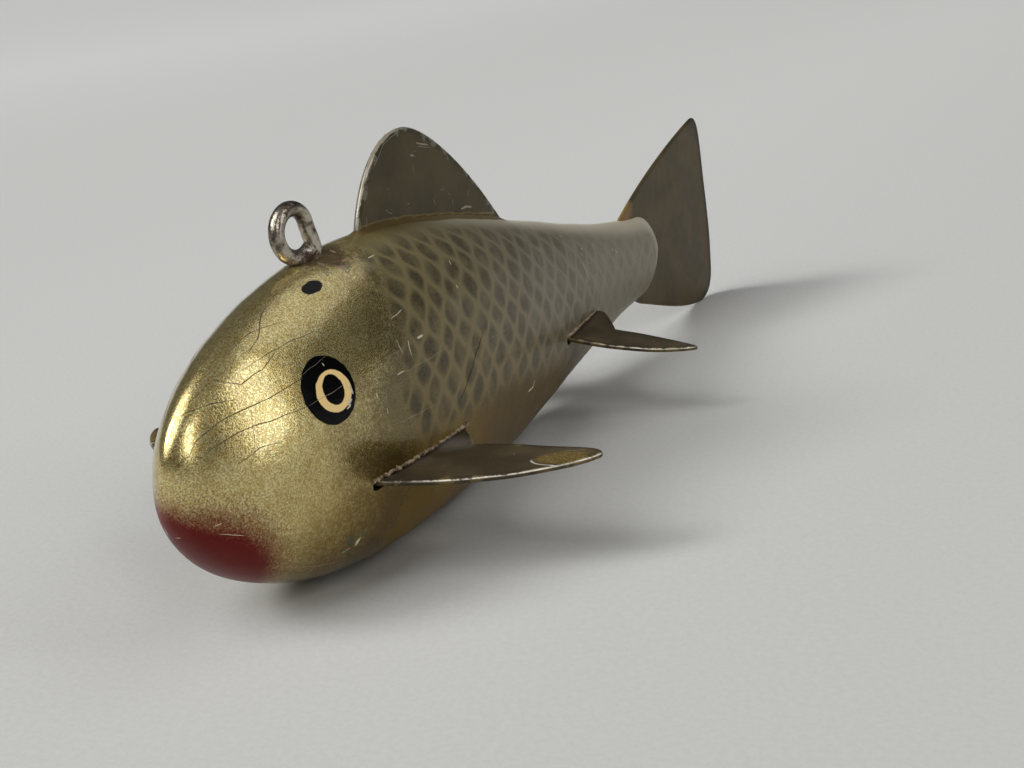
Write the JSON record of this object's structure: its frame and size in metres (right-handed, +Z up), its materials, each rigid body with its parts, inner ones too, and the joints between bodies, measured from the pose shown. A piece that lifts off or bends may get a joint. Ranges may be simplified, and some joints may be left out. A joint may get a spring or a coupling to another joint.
{
  "type": "fish decoy",
  "caption": "Carved and painted wooden fish with sheet-metal fins and a wire line eye, resting on its belly and tail.",
  "frame": {"origin": "on the ground, below the middle of the fish's box", "axes": "+X along the fish from head to tail, -Y to its left side, +Z up"},
  "size_m": [0.1809, 0.07, 0.0525],
  "materials": {
    "painted_wood": "satin",
    "upright_fins": "satin",
    "side_fins": "satin",
    "eye_wire": "satin"
  },
  "bodies": {
    "root": {"body": "painted_wood", "dorsal_fin": "upright_fins", "tail_fin": "upright_fins", "pectoral_fin_left": "side_fins", "pectoral_fin_right": "side_fins", "rear_fin_left": "side_fins", "rear_fin_right": "side_fins", "line_eye": "eye_wire"}
  },
  "joints": []
}
